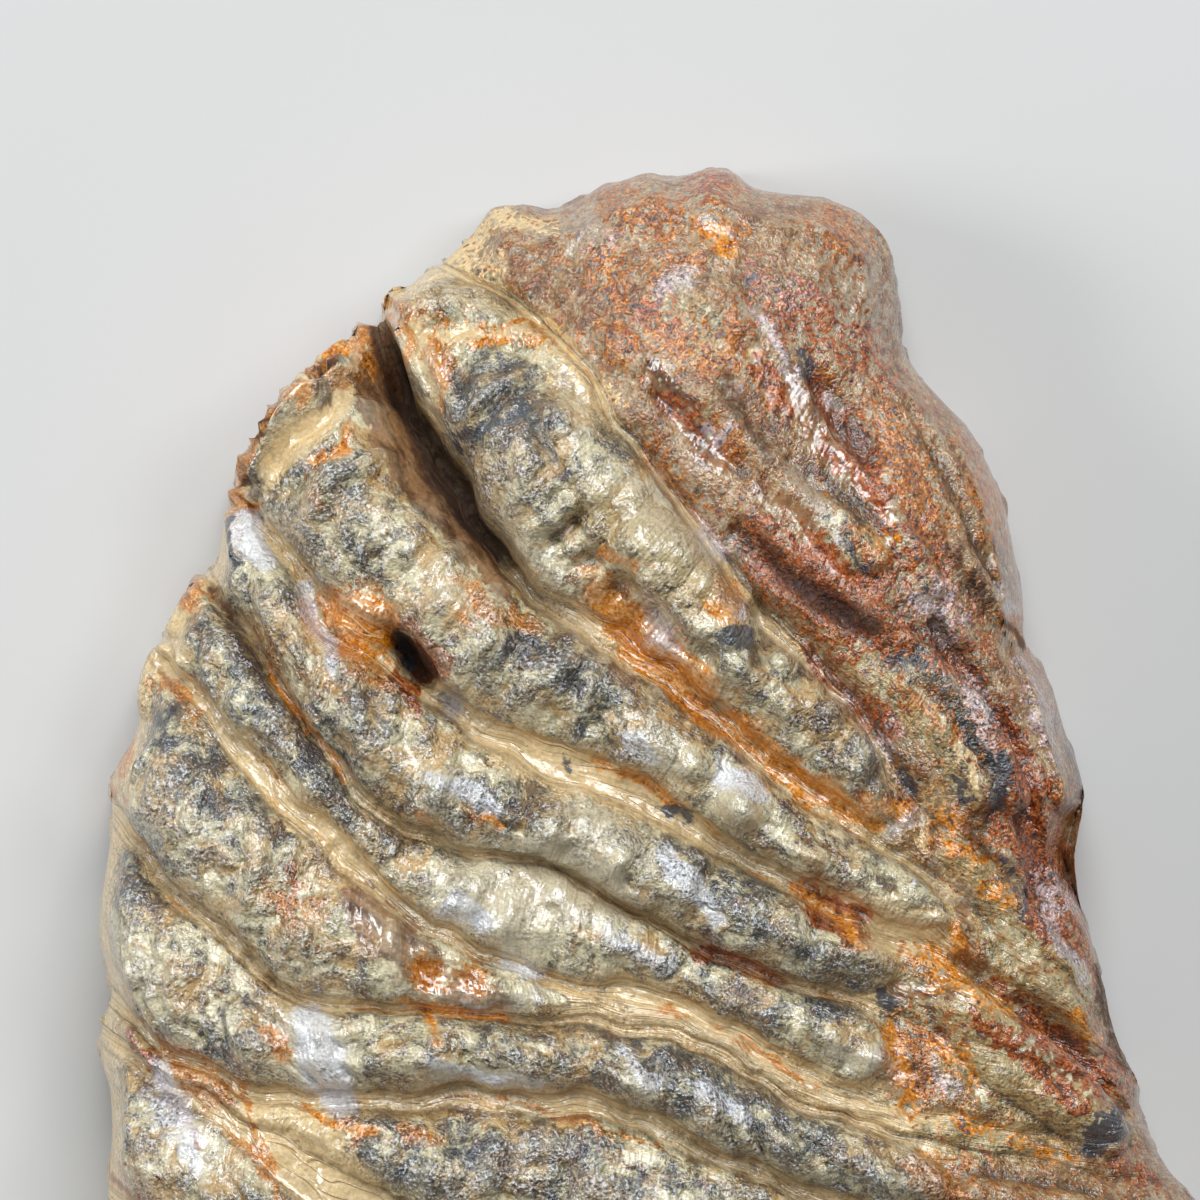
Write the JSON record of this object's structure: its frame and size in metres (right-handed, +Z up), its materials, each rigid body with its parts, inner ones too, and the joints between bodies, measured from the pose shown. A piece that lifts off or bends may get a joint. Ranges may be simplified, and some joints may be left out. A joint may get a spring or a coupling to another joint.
{
  "type": "fossil mammoth molar slice",
  "caption": "Thick side slice of a fossil mammoth cheek tooth: domed natural face with fanned enamel plates, cement seams, a crevice and pits; flat sawn back.",
  "frame": {"origin": "centre of the bounding box at its bottom, on the flat sawn face", "axes": "+Z up from the sawn face to the natural face, +Y along the tooth's length to its narrow end, +X from the worn chewing edge to the roots"},
  "size_m": [0.113, 0.16, 0.0347],
  "materials": {
    "fossil_enamel": "lacquered fossil enamel and cement, glossy and mottled"
  },
  "bodies": {
    "root": {"molar": "fossil_enamel"}
  },
  "joints": []
}
